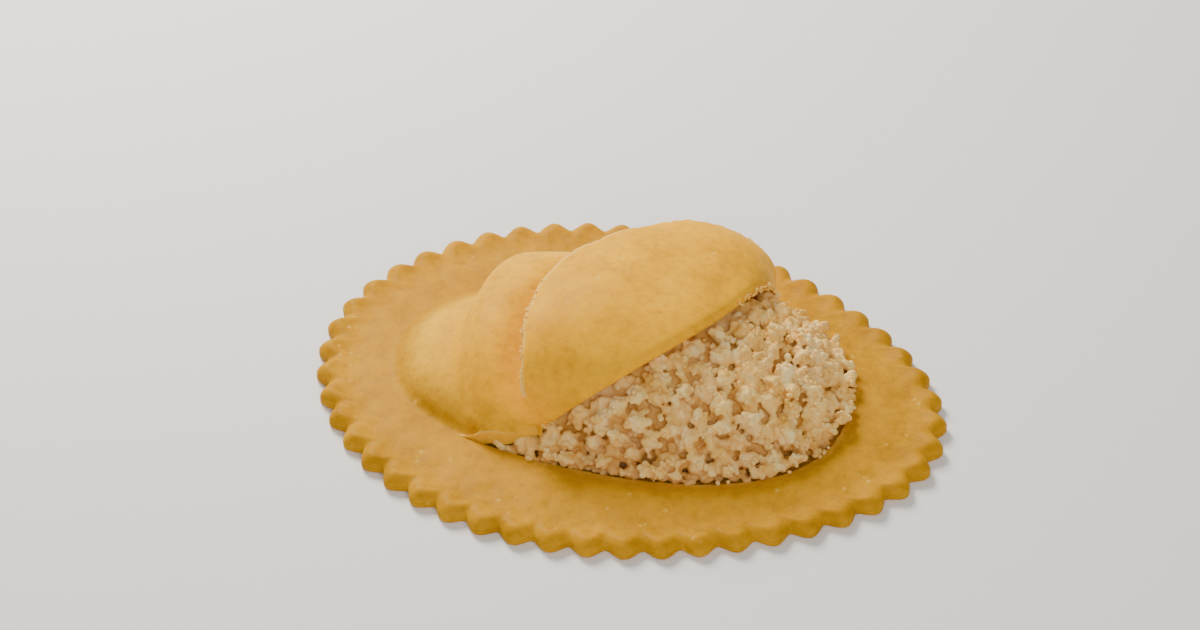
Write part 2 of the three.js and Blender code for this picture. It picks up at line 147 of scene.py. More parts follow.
def flange_edge(inset, tooth_depth):
    # The fluted oval, as points spaced evenly along it, and each point's share
    # of a tooth: 1 at a tip and 0 between two teeth.
    fine = np.linspace(0.0, 2 * math.pi, SPOKES * 8 + 1)
    swell = 1 + EGG_THREE_LOBE * np.cos(3 * fine) + EGG_FOUR_LOBE * np.cos(4 * fine)
    x = FLANGE_CENTRE_X + FLANGE_HALF_LENGTH * swell * np.cos(fine)
    y = FLANGE_HALF_WIDTH * swell * np.sin(fine)
    along = np.concatenate([[0.0], np.cumsum(np.hypot(np.diff(x), np.diff(y)))])
    wanted = along[-1] * np.arange(SPOKES) / SPOKES
    x, y = np.interp(wanted, along, x), np.interp(wanted, along, y)
    step_x, step_y = np.roll(x, -1) - np.roll(x, 1), np.roll(y, -1) - np.roll(y, 1)
    length = np.hypot(step_x, step_y)
    phase = np.arange(SPOKES) / POINTS_PER_TOOTH - TOOTH_PHASE
    tooth = (0.5 + 0.5 * np.cos(2 * math.pi * phase)) ** TOOTH_ROUNDNESS
    out = -inset - tooth_depth * (1 - tooth)
    x, y = x + step_y / length * out, y - step_x / length * out
    return x, np.clip(y, -WIDEST, WIDEST), tooth


def closed_round(rows):
    return np.concatenate([rows, rows[:, :1]], axis=1)


def set_places(piece, places):
    piece.data.vertices.foreach_set("co", (places * MM).astype(np.float32).ravel())
    piece.data.update()


def get_places(piece):
    places = np.empty(len(piece.data.vertices) * 3, dtype=np.float32)
    piece.data.vertices.foreach_get("co", places)
    return places.reshape(-1, 3) / MM


def shaped_grid(name, places):
    # A flat grid of as many points as places has, moved to those places.
    rows, columns = places.shape[:2]
    bpy.ops.object.select_all(action="DESELECT")
    bpy.ops.mesh.primitive_grid_add(
        x_subdivisions=columns - 1, y_subdivisions=rows - 1, size=2.0)
    piece = bpy.context.object
    piece.name = name
    piece.data.name = name
    set_places(piece, places.reshape(-1, 3))
    return piece


def tidy_mesh(piece):
    bpy.ops.object.select_all(action="DESELECT")
    piece.select_set(True)
    bpy.context.view_layer.objects.active = piece
    bpy.ops.object.mode_set(mode="EDIT")
    bpy.ops.mesh.select_all(action="SELECT")
    bpy.ops.mesh.remove_doubles(threshold=1e-7)
    bpy.ops.mesh.normals_make_consistent(inside=False)
    bpy.ops.object.mode_set(mode="OBJECT")


def set_attribute(piece, name, values):
    kind, field = ("FLOAT", "value") if np.ndim(values) == 1 else ("FLOAT_VECTOR", "vector")
    layer = piece.data.attributes.new(name, kind, "POINT")
    layer.data.foreach_set(field, np.asarray(values, dtype=np.float32).ravel())


def level_row(x, y, height):
    return np.stack([x, y, np.full(len(x), height)], axis=1)


edge_x, edge_y, edge_tooth = flange_edge(0.0, TOOTH_DEPTH)
plate_rows = []
for inset, height in LOWER_EDGE:
    rim_x, rim_y, _ = flange_edge(inset, TOOTH_DEPTH)
    plate_rows.append(level_row(rim_x, rim_y, height))
for shrink in PLATE_RINGS:
    plate_rows.append(level_row(edge_x * shrink, edge_y * shrink, BOTTOM_SHEET))
    plate_rows.insert(0, level_row(edge_x * shrink, edge_y * shrink, 0.0))
bottom = shaped_grid("bottom_dough", closed_round(np.stack(plate_rows)))
tidy_mesh(bottom)
bpy.ops.object.shade_smooth()
set_attribute(bottom, "skin_and_glow", np.zeros(len(bottom.data.vertices)))
set_attribute(bottom, "cut_edge", np.zeros(len(bottom.data.vertices)))


def add_node(tree, kind, settings, links):
    node = tree.nodes.new(kind)
    for key, value in settings.items():
        if isinstance(key, str) and hasattr(node, key):
            setattr(node, key, value)
        else:
            node.inputs[key].default_value = value
    for key, source in links.items():
        tree.links.new(source, node.inputs[key])
    return node


# The colour mixing node keeps its two colours in sockets 6 and 7, and gives
# the mixed colour from its third output.
def mix_colours(tree, share, first, second, blend):
    settings = {"data_type": "RGBA", "blend_type": blend}
    links = {}
    for key, value in ((0, share), (6, first), (7, second)):
        if isinstance(value, (float, tuple)):
            settings[key] = value
        else:
            links[key] = value
    return add_node(tree, "ShaderNodeMix", settings, links).outputs[2]


def grey(value):
    return (value, value, value, 1.0)


def ramp(tree, source, stops):
    node = add_node(tree, "ShaderNodeValToRGB", {}, {"Fac": source})
    elements = node.color_ramp.elements
    while len(elements) < len(stops):
        elements.new(0.5)
    for element, (position, colour) in zip(elements, stops):
        element.position = position
        element.color = colour
    return node.outputs["Color"]


# Boiled egg dough: a soft satin skin, cloudy where flour and semolina show.
# It goes from khaki gold on the pressed flange to yolk yellow on the thin
# skin, with pale grains and a few flecks of bran. The khaki is partly painted
# shade, and the yolk yellow is partly painted glow of light passing into it.
CLOUDS_PER_METRE = 150.0
SEMOLINA_PER_METRE = 900.0
PALE_GRAINS_PER_METRE = 620.0
PALE_PATCHES_PER_METRE = 260.0
BRAN_PER_METRE = 210.0
DOUGH_GRAINS_PER_METRE = 2200.0
DOUGH_GRAIN_DEPTH = 0.12
DOUGH_LIGHT_DEPTH = 1.2


def dough_material(name):
    material, tree, shader = new_material(name)
    place = add_node(tree, "ShaderNodeTexCoord", {}, {}).outputs["Object"]
    skin_and_glow = add_node(tree, "ShaderNodeAttribute", {"attribute_name": "skin_and_glow"}, {})
    cut_edge = add_node(tree, "ShaderNodeAttribute", {"attribute_name": "cut_edge"}, {})
    cloud = add_node(
        tree, "ShaderNodeTexNoise",
        {"Scale": CLOUDS_PER_METRE, "Detail": 5.0, "Roughness": 0.6},
        {"Vector": place})
    fine = add_node(
        tree, "ShaderNodeTexNoise",
        {"Scale": SEMOLINA_PER_METRE, "Detail": 4.0, "Roughness": 0.65},
        {"Vector": place})
    # Khaki where the sheet lies low to yolk yellow where it rises: the dough's own tone, with
    # painted shade on the flange and painted glow on the raised skin.
    base = ramp(tree, skin_and_glow.outputs["Fac"], [
        (0.0, linear("#ce930c")), (0.4, linear("#f2b414")), (1.0, linear("#fcb400"))])
    cloud_tint = ramp(tree, cloud.outputs["Fac"], [
        (0.3, (0.78, 0.76, 0.62, 1)), (0.5, (0.97, 0.97, 0.95, 1)), (0.72, (1.1, 1.12, 1.6, 1))])
    cloudy = mix_colours(tree, 1.0, base, cloud_tint, "MULTIPLY")
    fine_tint = ramp(tree, fine.outputs["Fac"], [
        (0.32, (0.86, 0.84, 0.7, 1)), (0.5, (1, 1, 1, 1)), (0.68, (1.08, 1.1, 1.7, 1))])
    grained = mix_colours(tree, 1.0, cloudy, fine_tint, "MULTIPLY")
    pale_cells = add_node(
        tree, "ShaderNodeTexVoronoi",
        {"Scale": PALE_GRAINS_PER_METRE}, {"Vector": place})
    pale_grain = ramp(tree, pale_cells.outputs["Distance"], [
        (0.0, grey(0.5)), (0.13, grey(0.28)), (0.2, grey(0.0))])
    pale_patch = add_node(
        tree, "ShaderNodeTexNoise",
        {"Scale": PALE_PATCHES_PER_METRE, "Detail": 2.0}, {"Vector": place})
    pale_where = ramp(tree, pale_patch.outputs["Fac"], [(0.5, grey(0.0)), (0.62, grey(1.0))])
    pale_amount = add_node(
        tree, "ShaderNodeMath", {"operation": "MULTIPLY"}, {0: pale_grain, 1: pale_where})
    specked = mix_colours(tree, pale_amount.outputs[0], grained, linear("#ffd96a"), "MIX")
    bran_cells = add_node(
        tree, "ShaderNodeTexVoronoi",
        {"Scale": BRAN_PER_METRE}, {"Vector": place})
    bran_fleck = ramp(tree, bran_cells.outputs["Distance"], [
        (0.0, grey(0.45)), (0.05, grey(0.3)), (0.085, grey(0.0))])
    flecked = mix_colours(tree, bran_fleck, specked, linear("#b06a10"), "MIX")
    edged = mix_colours(tree, cut_edge.outputs["Fac"], flecked, linear("#ffca60"), "MIX")
    tree.links.new(edged, shader.inputs["Base Color"])
    rough = ramp(tree, fine.outputs["Fac"], [(0.3, grey(0.45)), (0.7, grey(0.62))])
    tree.links.new(rough, shader.inputs["Roughness"])
    shader.inputs["IOR"].default_value = 1.4
    shader.inputs["Specular IOR Level"].default_value = 0.1
    shader.inputs["Subsurface Weight"].default_value = 0.2
    shader.inputs["Subsurface Radius"].default_value = (1.0, 0.5, 0.1)
    shader.inputs["Subsurface Scale"].default_value = DOUGH_LIGHT_DEPTH * MM
    grain = add_node(
        tree, "ShaderNodeTexNoise",
        {"Scale": DOUGH_GRAINS_PER_METRE, "Detail": 3.0, "Roughness": 0.6},
        {"Vector": place})
    relief = add_node(
        tree, "ShaderNodeMath", {"operation": "ADD"},
        {0: grain.outputs["Fac"], 1: fine.outputs["Fac"]})
    bump = add_node(
        tree, "ShaderNodeBump",
        {"Strength": 0.35, "Distance": DOUGH_GRAIN_DEPTH * MM}, {"Height": relief.outputs[0]})
    tree.links.new(bump.outputs["Normal"], shader.inputs["Normal"])
    return material


egg_dough = dough_material("boiled_egg_dough")
bottom.data.materials.append(egg_dough)
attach(bottom, "root")
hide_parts("bottom_sheet")

# --- Top sheet of dough -------------------------------------------------------
# One sheet of rolled egg dough 0.9 mm thick: pressed down as the flange, raised
# over the filling and, where it was cut along the foot, folded back over itself
# as a flap. It is laid out as one skin with an outer and an inner face.

# The mound is a squarish oval dome. Towards its closed end it steps down past a
# bulge and a shallow valley to a low shelf.
MOUND_CENTRE = (-1.8, 1.2)
MOUND_HALF_LENGTH = 28.0
MOUND_HALF_WIDTH = 17.6
MOUND_SQUARENESS = 2.4
MOUND_HEIGHT = 12.6
MOUND_FULLNESS = 2.2
MOUND_SHOULDER = 0.6
FOOT_FILLET = 1.5
SHELF_CENTRE = (-14.0, -1.0)
SHELF_HALF_LENGTH = 16.0
SHELF_HALF_WIDTH = 14.5
SHELF_HEIGHT = 5.0
SHELF_BLEND = 4
STEP_X = -20.8
STEP_BOW = 0.0165
STEP_BOW_CENTRE_Y = 4.0
STEP_HALF_WIDTH = 2.2
BULGE_SHARE = 0.82
BULGE_FADE = (-12.0, 4.0)
VALLEY_X = -10.5
VALLEY_BOW = 0.0235
VALLEY_BOW_CENTRE_Y = -4.0
VALLEY_HALF_WIDTH = 3.5
VALLEY_SHARE = 0.2
# The fold runs as a shallow arc from its start, at the front, to its end, and is
# then set back and lifted. The flap's free edge keeps to the first line.
FOLD_START = np.array([-6.5, -15.6])
FOLD_END = np.array([14.0, 16.4])
FOLD_BOW = 6.8
FOLD_GAP = 0.05
FOLD_BACK = 1.7
FOLD_LIFT = (0.5, 1.2)
FOOT_FADE = 3.0
STEEPEST = 2.6
FOOT_SOFTNESS = 1.2
SKIN_WAVE = 0.16
FLAP_REACH = 13.8
FLAP_START_SQUARENESS = 1.75
FLAP_END_SQUARENESS = 2.3
FLAP_EDGE_LOW = 4.15
FLAP_EDGE_RISE = 11.0
FLAP_EDGE_TILT = 3.45
FLAP_EDGE_TILT_START = 0.3
FLAP_EDGE_SHAPES = (0.31, 0.22)
FLAP_ARCH = 2.15
FLAP_ARCH_SHAPES = (0.6, 0.34)
FLAP_END_GAP = 0.02
LIP_START = (-16.5, -14.7)
LIP_TOP = 2.0
LIP_RISE = 1.6
LIP_LINE_ROWS = 7
# On the flange: puffed tips of the teeth, a pressed groove behind them and soft
# waves. Each has a height, then the place of its middle and its width.
EDGE_ROUNDING = 1.5
EDGE_LEAST = 0.04
PILLOW = (0.44, 1.25, 1.15)
TROUGH = (0.16, 4.2, 1.4)
FLANGE_WAVE = 0.12
RAGGED_RIM = 0.16
RIM_DROP = 0.16
RIM_DROP_WIDTH = 0.22
FLANGE_ROWS = 22
DOME_ROWS = 50
NOSE_ROWS = 8
FLAP_ROWS = 44


def smooth_step(low, high, value):
    t = np.clip((value - low) / (high - low), 0.0, 1.0)
    return t * t * (3 - 2 * t)


def mound_share(x, y):
    along = np.abs((x - MOUND_CENTRE[0]) / MOUND_HALF_LENGTH) ** MOUND_SQUARENESS
    across = np.abs((y - MOUND_CENTRE[1]) / MOUND_HALF_WIDTH) ** MOUND_SQUARENESS
    return np.minimum(1.0, (along + across) ** (1 / MOUND_SQUARENESS))


def foot_point(angle, share):
    c, s = np.cos(angle), np.sin(angle)
    reach = np.abs(c) ** MOUND_SQUARENESS + np.abs(s) ** MOUND_SQUARENESS
    reach = reach ** (-1 / MOUND_SQUARENESS)
    return (MOUND_CENTRE[0] + MOUND_HALF_LENGTH * reach * share * c,
            MOUND_CENTRE[1] + MOUND_HALF_WIDTH * reach * share * s)


def foot_angle(x, y):
    return np.arctan2((y - MOUND_CENTRE[1]) / MOUND_HALF_WIDTH,
                      (x - MOUND_CENTRE[0]) / MOUND_HALF_LENGTH)


def skin_height(x, y):
    step_x = STEP_X + STEP_BOW * (y - STEP_BOW_CENTRE_Y) ** 2
    valley_x = VALLEY_X + VALLEY_BOW * (y - VALLEY_BOW_CENTRE_Y) ** 2
    share = smooth_step(step_x - STEP_HALF_WIDTH, step_x + STEP_HALF_WIDTH, x)
    share = share * (BULGE_SHARE + (1 - BULGE_SHARE) * smooth_step(*BULGE_FADE, x))
    share = share * (1 - VALLEY_SHARE * np.exp(-((x - valley_x) / VALLEY_HALF_WIDTH) ** 2))
    dome = MOUND_HEIGHT * (1 - mound_share(x, y) ** MOUND_FULLNESS) ** MOUND_SHOULDER * share
    along = (x - SHELF_CENTRE[0]) / SHELF_HALF_LENGTH
    across = (y - SHELF_CENTRE[1]) / SHELF_HALF_WIDTH
    shelf = SHELF_HEIGHT * np.maximum(0.0, 1 - along ** 2 - across ** 2)
    return (dome ** SHELF_BLEND + shelf ** SHELF_BLEND) ** (1 / SHELF_BLEND)


def skin_slopes(x, y):
    step = 0.05
    return ((skin_height(x + step, y) - skin_height(x - step, y)) / (2 * step),
            (skin_height(x, y + step) - skin_height(x, y - step)) / (2 * step))


def waves(x, y, size, seed):
    return np.array([noise.noise(Vector((a / size, b / size, seed)))
                     for a, b in zip(np.ravel(x), np.ravel(y))])


fold_chord = FOLD_END - FOLD_START
fold_length = float(np.hypot(*fold_chord))
fold_along = fold_chord / fold_length
fold_across = np.array([-fold_along[1], fold_along[0]])
fold_radius = ((fold_length / 2) ** 2 + FOLD_BOW ** 2) / (2 * FOLD_BOW)
fold_half_angle = math.asin(fold_length / 2 / fold_radius)
fold_centre = FOLD_START + fold_along * fold_length / 2
fold_centre = fold_centre + fold_across * (fold_radius - FOLD_BOW)


def beyond_fold(x, y):
    # Distance outside the fold's arc: positive where the skin is peeled away.
    return np.hypot(x - fold_centre[0], y - fold_centre[1]) - fold_radius + FOLD_BACK


# The flange, from the foot of the mound out to the teeth.
oval_x, oval_y, _ = flange_edge(0.0, 0.0)
spoke_angle = foot_angle(oval_x, oval_y) % (2 * math.pi)
foot_x, foot_y = foot_point(spoke_angle, 1.0)
opened_from = float(foot_angle(*FOLD_START)) + 2 * math.pi
opened_to = float(foot_angle(*FOLD_END))
is_opened = (spoke_angle > opened_from) | (spoke_angle < opened_to)
ragged = np.where(is_opened, RAGGED_RIM * waves(foot_x, foot_y, 1.1, 5.0), 0.0)
outer_rows = []
inner_rows = []
for row in range(FLANGE_ROWS + 1):
    share = 1 - (1 - row / FLANGE_ROWS) ** 2
    x = foot_x + (edge_x - foot_x) * share
    y = foot_y + (edge_y - foot_y) * share
    if row == 0:
        x = x + ragged * np.cos(spoke_angle)
        y = y + ragged * np.sin(spoke_angle)
    inward = np.hypot(edge_x - x, edge_y - y)
    outward = np.hypot(foot_x - x, foot_y - y)
    relief = PILLOW[0] * edge_tooth * np.exp(-((inward - PILLOW[1]) / PILLOW[2]) ** 2)
    relief -= TROUGH[0] * np.exp(-((inward - TROUGH[1]) / TROUGH[2]) ** 2)
    relief += FLANGE_WAVE * waves(x, y, 7.0, 2.0)
    relief = relief * smooth_step(0.0, 2.5, outward)
    relief -= np.where(is_opened, RIM_DROP * np.exp(-(outward / RIM_DROP_WIDTH) ** 2), 0.0)
    rounding = np.sqrt(1 - (1 - np.clip(inward / EDGE_ROUNDING, 0, 1)) ** 2)
    z = BOTTOM_SHEET + (TOP_SHEET + relief) * (EDGE_LEAST + (1 - EDGE_LEAST) * rounding)
    outer_rows.append(np.stack([x, y, z], axis=1))
    inner_rows.append(level_row(x, y, BOTTOM_SHEET))
ring_outer = closed_round(np.stack(outer_rows))
ring_inner = closed_round(np.stack(inner_rows))

# The closed skin, the fold and the flap: one column for each closed spoke. A
# column runs from the foot to the fold, round its nose and out to the free edge.
closed = np.nonzero((spoke_angle >= opened_to) & (spoke_angle <= opened_from))[0]
closed_angle = spoke_angle[closed]
columns = len(closed)
fold_share = FLAP_END_GAP + (1 - 2 * FLAP_END_GAP) * np.linspace(1.0, 0.0, columns)

arc = (2 * fold_share - 1) * fold_half_angle
fold_points = FOLD_START + np.outer(fold_length / 2 + fold_radius * np.sin(arc), fold_along)
fold_sag = fold_radius - FOLD_BOW - fold_radius * np.cos(arc)
fold_points = fold_points + np.outer(fold_sag, fold_across)
set_back = FOLD_BACK * (1 - 0.6 * smooth_step(0.75, 1.0, fold_share))
planned_height = skin_height(fold_points[:, 0], fold_points[:, 1])
fold_points = fold_points + np.outer(set_back, fold_across)
lift = FOLD_LIFT[0] + FOLD_LIFT[1] * fold_share ** 3
raised = skin_height(fold_points[:, 0], fold_points[:, 1]) + lift - planned_height

turn = math.pi * (1 - fold_share)
turn_cos, turn_sin = np.cos(turn), np.sin(turn)
squareness = np.where(turn_cos < 0, FLAP_START_SQUARENESS, FLAP_END_SQUARENESS)
reach = np.abs(turn_cos) ** squareness + np.abs(turn_sin) ** squareness
reach = reach ** (-1 / squareness)
flap_edge = FOLD_START + np.outer(fold_length / 2 * (1 + reach * turn_cos), fold_along)
at_start = smooth_step(0.16, 0.0, fold_share)
flap_out = FLAP_REACH * reach * turn_sin + set_back * at_start
flap_edge = flap_edge + np.outer(flap_out, fold_across)
flap_width = np.hypot(*(flap_edge - fold_points).T)
flap_direction = (flap_edge - fold_points) / flap_width[:, None]

# The lip: the front stretch of the cut, where the skin has sprung off the flange.
lip_from = float(foot_angle(*LIP_START)) + 2 * math.pi
lip_share = np.clip((closed_angle - lip_from) / (opened_from - lip_from), 0, 1)
lip_top = LIP_TOP * smooth_step(0.0, 0.5, lip_share)
lip_top += LIP_RISE * smooth_step(0.5, 1.0, lip_share)
start_share = np.ones(columns)
for k in np.nonzero(lip_share > 0)[0]:
    tries = np.linspace(1.0, 0.85, 301)
    heights = skin_height(*foot_point(closed_angle[k], tries))
    start_share[k] = tries[int(np.argmax(heights >= lip_top[k]))]
start_x, start_y = foot_point(closed_angle, start_share)
sprung = smooth_step(0.0, 0.25, lip_share)

sheet_outer = []
sheet_inner = []
for row in range(DOME_ROWS + 1):
    share = (row / DOME_ROWS) ** 1.6
    x = start_x + (fold_points[:, 0] - start_x) * share
    y = start_y + (fold_points[:, 1] - start_y) * share
    height = skin_height(x, y)
    slope_x, slope_y = skin_slopes(x, y)
    steepness = np.sqrt(1 + np.minimum(slope_x ** 2 + slope_y ** 2, STEEPEST))
    steepness += (1 - steepness) * smooth_step(0.75, 1.0, share)
    inside = np.hypot(x - start_x, y - start_y)
    fillet = FOOT_FILLET * np.exp(-height / FOOT_SOFTNESS)
    filleted = height ** 2 / (height + fillet + 1e-9)
    filleted = filleted * smooth_step(0.0, FOOT_FADE, inside)
    soft = filleted + (height - filleted) * sprung
    wave = SKIN_WAVE * waves(x, y, 6.0, 4.0)
    soft = soft + wave * smooth_step(1.0, 5.0, height) * (1 - share)
    outer_z = FLANGE_TOP + np.maximum(soft, lip_top) + lift * smooth_step(0.0, 1.0, share)
    inner_z = np.maximum(outer_z - TOP_SHEET * steepness, BOTTOM_SHEET)
    sheet_outer.append(np.stack([x, y, outer_z], axis=1))
    sheet_inner.append(np.stack([x, y, inner_z], axis=1))
joined = lip_share <= 0
sheet_outer[0][joined] = ring_outer[0][closed[joined]]
sheet_inner[0][joined] = ring_inner[0][closed[joined]]

# The flap's free edge and its arch both grow from nothing at the fold's ends.
growth = np.sin(math.pi * fold_share)
first_half = fold_share < 0.5
edge_growth = growth ** np.where(first_half, *FLAP_EDGE_SHAPES)
arch = FLAP_ARCH * growth ** np.where(first_half, *FLAP_ARCH_SHAPES)
edge_rise = FLAP_EDGE_RISE - FLAP_EDGE_TILT * (fold_share - FLAP_EDGE_TILT_START)
edge_z = FLAP_EDGE_LOW + edge_rise * edge_growth
arch = arch - raised / 2
nose_z = sheet_outer[-1][:, 2] + FOLD_GAP
start_z = nose_z + TOP_SHEET / 2
start_slope = np.arctan2(edge_z - start_z + 4 * arch, flap_width)


def sheet_row(distance, z):
    flat = fold_points + flap_direction * distance[:, None]
    return np.stack([flat[:, 0], flat[:, 1], z], axis=1)


for row in range(1, NOSE_ROWS + 1):
    bend = (math.pi - start_slope) * row / NOSE_ROWS
    for radius, rows in ((FOLD_GAP, sheet_outer), (FOLD_GAP + TOP_SHEET, sheet_inner)):
        rows.append(sheet_row(-radius * np.sin(bend), nose_z - radius * np.cos(bend)))


def flap_middle(t):
    # The sheet's middle line, eased into the end of the nose.
    ease = (FOLD_GAP + TOP_SHEET / 2) * (1 - t) ** 3
    distance = flap_width * t - ease * np.sin(start_slope)
    z = start_z + (edge_z - start_z) * t + 4 * arch * t * (1 - t)
    return distance, z + ease * np.cos(start_slope) - (TOP_SHEET / 2) * (1 - t) ** 3


# The knife's ragged line and the slow waves of the free edge.
free_edge_wave = 0.24 * waves(flap_edge[:, 0], flap_edge[:, 1], 0.9, 7.0)
free_edge_wave += 0.35 * waves(flap_edge[:, 0], flap_edge[:, 1], 4.0, 8.0)
for row in range(1, FLAP_ROWS + 1):
    t = row / FLAP_ROWS
    before_d, before_z = flap_middle(t - 0.5 / FLAP_ROWS)
    after_d, after_z = flap_middle(t + 0.5 / FLAP_ROWS)
    length = np.hypot(after_d - before_d, after_z - before_z)
    across_d, across_z = -(after_z - before_z) / length, (after_d - before_d) / length
    distance, z = flap_middle(t)
    flat = fold_points + flap_direction * distance[:, None]
    wave = 0.2 * waves(flat[:, 0], flat[:, 1], 6.0, 9.0) - 0.15
    z = z + wave * smooth_step(0.0, 0.3, t)
    distance = distance + free_edge_wave * smooth_step(1.2, 0.0, flap_width * (1 - t))
    half = TOP_SHEET / 2 * (1 - 0.35 * smooth_step(0.7, 0.0, flap_width * (1 - t)))
    sheet_outer.append(sheet_row(distance - half * across_d, z - half * across_z))
    sheet_inner.append(sheet_row(distance + half * across_d, z + half * across_z))

# How much of the skin's yellow, partly painted glow that grows with height above the flange, and
# of the cut's pale edge each point shows.
skin_and_glow_rows = np.ones((len(sheet_outer), columns))
for row in range(DOME_ROWS + 1):
    skin_and_glow_rows[row] = smooth_step(0.3, 5.0, sheet_outer[row][:, 2] - FLANGE_TOP)
edge_share_rows = np.zeros((len(sheet_outer), columns))
is_lip = lip_share > 0
skin_and_glow_rows[:LIP_LINE_ROWS, is_lip] = 1.0
edge_share_rows[0, is_lip] = 0.2
edge_share_rows[1:LIP_LINE_ROWS, is_lip] = 0.7
edge_share_rows[-1] = 1.0
edge_share_rows[-2] = 0.35
ring_edge_rows = np.zeros(ring_outer.shape[:2])
ring_edge_rows[0] = np.append(is_opened, is_opened[0]) * 0.35

top = shaped_grid("top_dough", ring_outer)
set_attribute(top, "outer", ring_outer.reshape(-1, 3))
set_attribute(top, "inner", ring_inner.reshape(-1, 3))
set_attribute(top, "skin_and_glow", np.zeros(ring_edge_rows.size))
set_attribute(top, "cut_edge", ring_edge_rows.ravel())
sheet_outer = np.stack(sheet_outer)
sheet_inner = np.stack(sheet_inner)
skin_grid = shaped_grid("top_dough_skin", sheet_outer)
set_attribute(skin_grid, "outer", sheet_outer.reshape(-1, 3))
set_attribute(skin_grid, "inner", sheet_inner.reshape(-1, 3))
set_attribute(skin_grid, "skin_and_glow", skin_and_glow_rows.ravel())
set_attribute(skin_grid, "cut_edge", edge_share_rows.ravel())
bpy.ops.object.select_all(action="DESELECT")
skin_grid.select_set(True)
top.select_set(True)
bpy.context.view_layer.objects.active = top
bpy.ops.object.join()
tidy_mesh(top)

# Solidify closes the skin all round with an inner copy of every point. The
# copies then take the inner face's places, and the others keep the outer's.
thickness = top.modifiers.new("sheet_thickness", "SOLIDIFY")
thickness.thickness = TOP_SHEET * MM
thickness.offset = -1.0
bpy.ops.object.modifier_apply(modifier="sheet_thickness")
count = len(top.data.vertices)
outer = np.empty(count * 3, dtype=np.float32)
inner = np.empty(count * 3, dtype=np.float32)
top.data.attributes["outer"].data.foreach_get("vector", outer)
top.data.attributes["inner"].data.foreach_get("vector", inner)
outer = outer.reshape(-1, 3)
inner = inner.reshape(-1, 3)
is_copy = np.linalg.norm(get_places(top) - outer, axis=1) > 0.1
set_places(top, np.where(is_copy[:, None], inner, outer))
top.data.attributes.remove(top.data.attributes["outer"])
top.data.attributes.remove(top.data.attributes["inner"])
tidy_mesh(top)
bpy.ops.object.shade_smooth_by_angle(angle=math.radians(55))
top.data.materials.append(egg_dough)
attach(top, "root")
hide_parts("top_sheet")

# --- Filling ------------------------------------------------------------------
# Crumbled fresh cheese and meat pressed into a heap: clusters of curds a few
# millimetres across, stuck to a core, with gaps between. It fills the inside of
# the closed skin too, where only its plain core is made.
CORE_DROP_HIDDEN = 1.35
CORE_DROP_OPEN = 2.2
CORE_POINTS = 120
CORE_ROWS = 30
CORE_SHARE = 0.975
CLUSTERS = 260
CLUSTER_SPACING = 2.3
SMALL_CURDS = 620
SMALL_CURD_SPACING = 0.9
RIM_CLUSTERS = 150
RIM_OVERHANGING = 0.3
UNDER_FOLD = -1.2
SINK_DEPTH = 1.2
SINK_REACH = 1.3
FILLING_VOXEL = 0.17
FILLING_FACES = 185000
rng = random.Random(4127)


def skin_normal(x, y):
    slope_x, slope_y = skin_slopes(np.float64(x), np.float64(y))
    return Vector((-float(slope_x), -float(slope_y), 1.0)).normalized()


core_angle = np.linspace(0.0, 2 * math.pi, CORE_POINTS, endpoint=False)
core_rows = []
for ring_step in range(CORE_ROWS + 1):
    share = CORE_SHARE * math.sin(math.pi / 2 * ring_step / CORE_ROWS)
    row = []
    for x, y in zip(*foot_point(core_angle, share)):
        open_share = smooth_step(-3.0, 0.5, beyond_fold(x, y))
        drop = CORE_DROP_HIDDEN + (CORE_DROP_OPEN - CORE_DROP_HIDDEN) * open_share
        point = Vector((x, y, FLANGE_TOP + float(skin_height(x, y))))
        point = point - skin_normal(x, y) * float(drop)
        row.append((point.x, point.y, max(point.z, BOTTOM_SHEET + 0.1)))
    core_rows.append(np.array(row))
base_row = core_rows[-1].copy()
base_row[:, 2] = BOTTOM_SHEET
centre_row = np.tile([*MOUND_CENTRE, BOTTOM_SHEET], (CORE_POINTS, 1))
core_rows += [base_row, centre_row]
filling = shaped_grid("filling_crumble", closed_round(np.stack(core_rows)))
tidy_mesh(filling)


def turned(places):
    axis = Vector((rng.uniform(-1, 1), rng.uniform(-1, 1), rng.uniform(-1, 1)))
    return places @ np.array(axis.to_track_quat("Z", "Y").to_matrix()).T


def curd_shape(seed):
    bpy.ops.object.select_all(action="DESELECT")
    bpy.ops.mesh.primitive_ico_sphere_add(subdivisions=3, radius=1.0)
    template = bpy.context.object
    places = []
    for vertex in template.data.vertices:
        direction = vertex.co.normalized()
        swell = 0.35 * noise.noise(direction * 1.3 + Vector((seed, 0, 0)))
        swell += 0.30 * abs(noise.noise(direction * 3.1 + Vector((0, seed, 0))))
        places.append(direction * (0.86 + swell))
    faces = [tuple(face.vertices) for face in template.data.polygons]
    bpy.data.objects.remove(template)
    return np.array(places), np.array(faces)


curd_shapes = [curd_shape(3.1 * k + 1.0) for k in range(6)]
curd_points = []
curd_faces = []


def add_curd(centre, radius):
    places, faces = curd_shapes[rng.randrange(len(curd_shapes))]
    curd_faces.append(faces + len(places) * len(curd_points))
    curd_points.append(turned(places) * radius + np.array(centre))


def place_clusters(wanted, spacing):
    # Spots on the opened part of the mound, no two nearer than the spacing.
    placed = np.zeros((0, 3))
    spots = []
    for _ in range(wanted * 40):
        if len(spots) == wanted:
            break
        angle = np.float64(rng.uniform(0, 2 * math.pi))
        x, y = foot_point(angle, math.sqrt(rng.random()) * 0.985)
        past = float(beyond_fold(x, y))
        if past < UNDER_FOLD:
            continue
        top_point = np.array([x, y, FLANGE_TOP + float(skin_height(x, y))])
        nearest = np.linalg.norm(placed - top_point, axis=1).min(initial=spacing)
        if nearest < spacing:
            continue
        placed = np.vstack([placed, top_point])
        spots.append((Vector(top_point), skin_normal(x, y), past))
    return spots


def sink(past):
    # Curds lie lower near the fold, so that they clear the skin there.
    return SINK_DEPTH * max(0.0, SINK_REACH - past) / SINK_REACH


